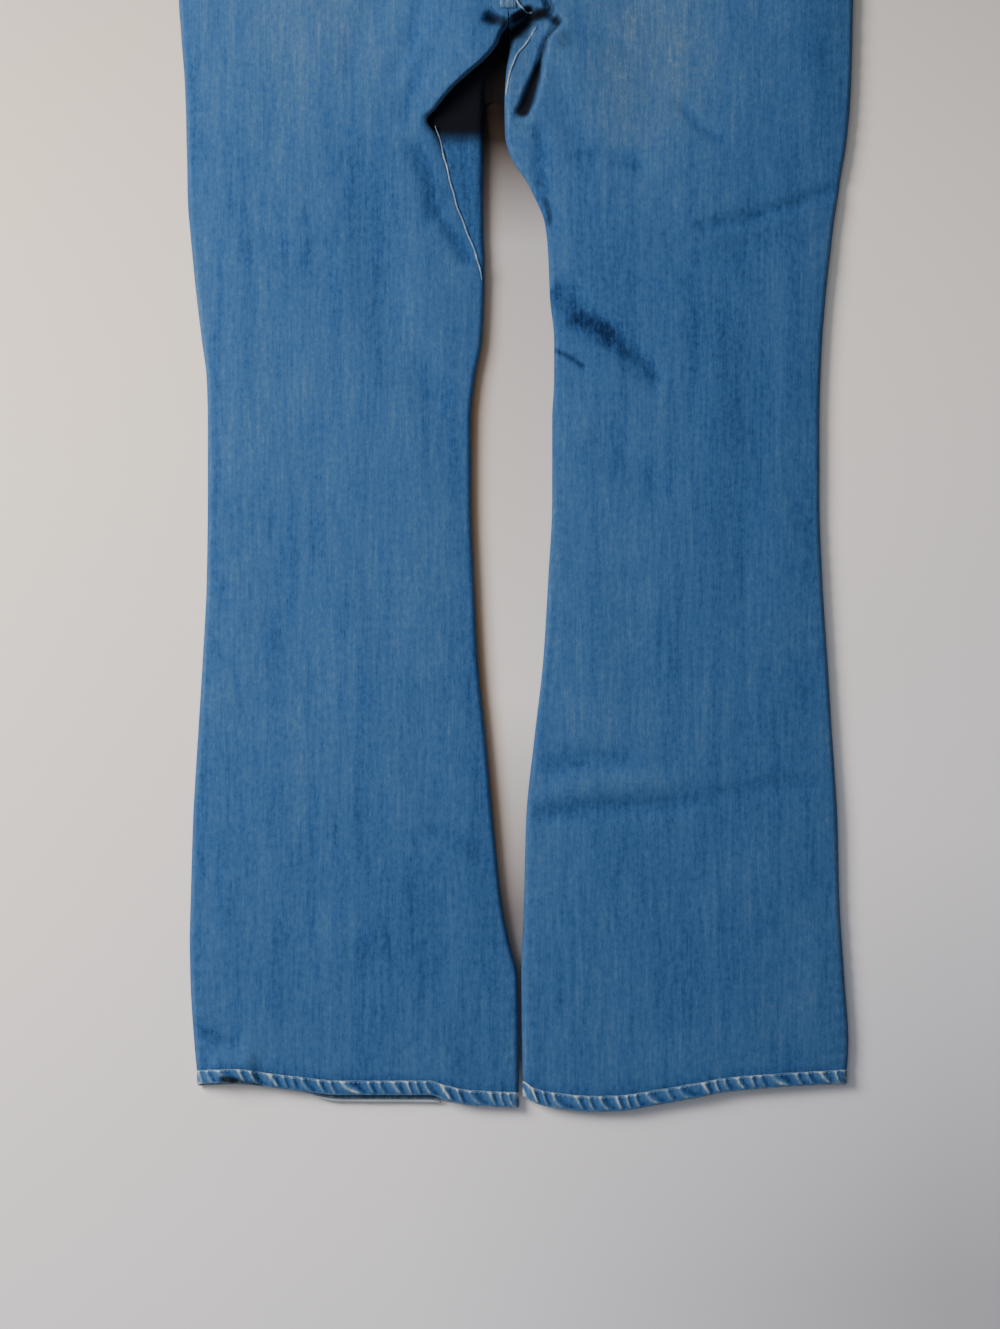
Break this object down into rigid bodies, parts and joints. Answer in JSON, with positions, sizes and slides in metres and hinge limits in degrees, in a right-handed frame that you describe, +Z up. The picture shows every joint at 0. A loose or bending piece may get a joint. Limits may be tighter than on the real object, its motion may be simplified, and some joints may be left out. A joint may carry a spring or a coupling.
{
  "type": "bootcut jeans laid flat",
  "caption": "Mid-blue bootcut jeans laid flat on their back: straight thighs, narrow knees, flared hems with open leg mouths, a fly, yokes, pockets and belt loops.",
  "frame": {"origin": "bottom centre of the laid-out jeans' box, on the surface that they lie on", "axes": "+Y from the hems to the waist, +Z up from the surface through the front, +X to the wearer's left"},
  "size_m": [0.514, 1.0578, 0.0271],
  "materials": {
    "denim": "mid-blue washed denim twill with vertical slubs, faded at the thighs",
    "worn_seam": "the same denim rubbed pale along folded edges, hems and felled seams",
    "facing": "plain twill of facings",
    "metal": "dull antique brass"
  },
  "bodies": {
    "root": {"right_front_panel": "denim", "left_front_panel": "denim", "right_back_panel": "denim", "left_back_panel": "denim", "right_yoke": "denim", "left_yoke": "denim", "waistband": "denim", "belt_loop_right": "denim", "belt_loop_left": "denim", "belt_loop_back_right": "denim", "belt_loop_back": "denim", "belt_loop_back_left": "denim", "right_pocket_facing": "denim", "left_pocket_facing": "denim", "fly_facing": "facing", "zip": "metal", "front_rise_seam": "worn_seam", "back_rise_seam": "worn_seam", "right_back_pocket": "denim", "left_back_pocket": "denim", "right_front_hem": "worn_seam", "left_front_hem": "worn_seam", "right_back_hem": "worn_seam", "left_back_hem": "worn_seam", "button": "metal"}
  },
  "joints": []
}
